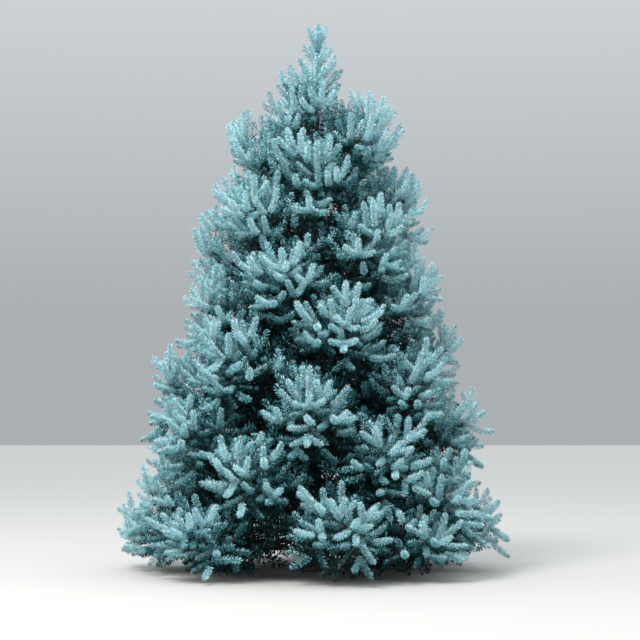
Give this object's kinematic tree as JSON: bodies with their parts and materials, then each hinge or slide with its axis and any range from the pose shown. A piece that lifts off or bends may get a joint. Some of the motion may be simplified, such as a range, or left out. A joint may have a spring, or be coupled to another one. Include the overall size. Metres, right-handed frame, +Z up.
{
  "type": "blue spruce tree",
  "caption": "Young blue spruce rooted in the ground: a dense cone of silver-blue needle sprays on upswept boughs round a straight trunk.",
  "frame": {"origin": "centre of the flat cut under the trunk, at ground level", "axes": "+Z up along the trunk, -Y towards the viewer, +X to the viewer's right"},
  "size_m": [2.0385, 2.0409, 2.905],
  "materials": {
    "bark": "scaly grey-brown bark",
    "bough_bark": "rough tan bark",
    "needles": "stiff waxy silver-blue needles on thin tan twigs"
  },
  "bodies": {
    "root": {"trunk": "bark", "bough_01": "bough_bark", "bough_02": "bough_bark", "bough_03": "bough_bark", "bough_04": "bough_bark", "bough_05": "bough_bark", "bough_06": "bough_bark", "bough_07": "bough_bark", "bough_08": "bough_bark", "bough_09": "bough_bark", "bough_10": "bough_bark", "foliage_01": "needles", "foliage_02": "needles", "foliage_03": "needles", "foliage_04": "needles", "foliage_05": "needles", "foliage_06": "needles", "foliage_07": "needles", "foliage_08": "needles", "foliage_09": "needles", "foliage_10": "needles", "foliage_11": "needles", "foliage_12": "needles", "foliage_13": "needles", "foliage_14": "needles", "foliage_15": "needles", "foliage_16": "needles", "foliage_17": "needles", "foliage_18": "needles", "foliage_19": "needles", "foliage_20": "needles", "foliage_21": "needles", "foliage_22": "needles", "foliage_23": "needles", "foliage_24": "needles", "foliage_25": "needles", "foliage_26": "needles", "foliage_27": "needles", "foliage_28": "needles", "foliage_29": "needles", "foliage_30": "needles", "foliage_31": "needles", "foliage_32": "needles", "foliage_33": "needles", "foliage_34": "needles", "foliage_35": "needles", "foliage_36": "needles", "foliage_37": "needles", "foliage_38": "needles", "foliage_39": "needles", "foliage_40": "needles", "foliage_41": "needles", "foliage_42": "needles", "foliage_43": "needles", "foliage_44": "needles", "foliage_45": "needles", "foliage_46": "needles", "foliage_47": "needles", "foliage_leader": "needles"}
  },
  "joints": []
}
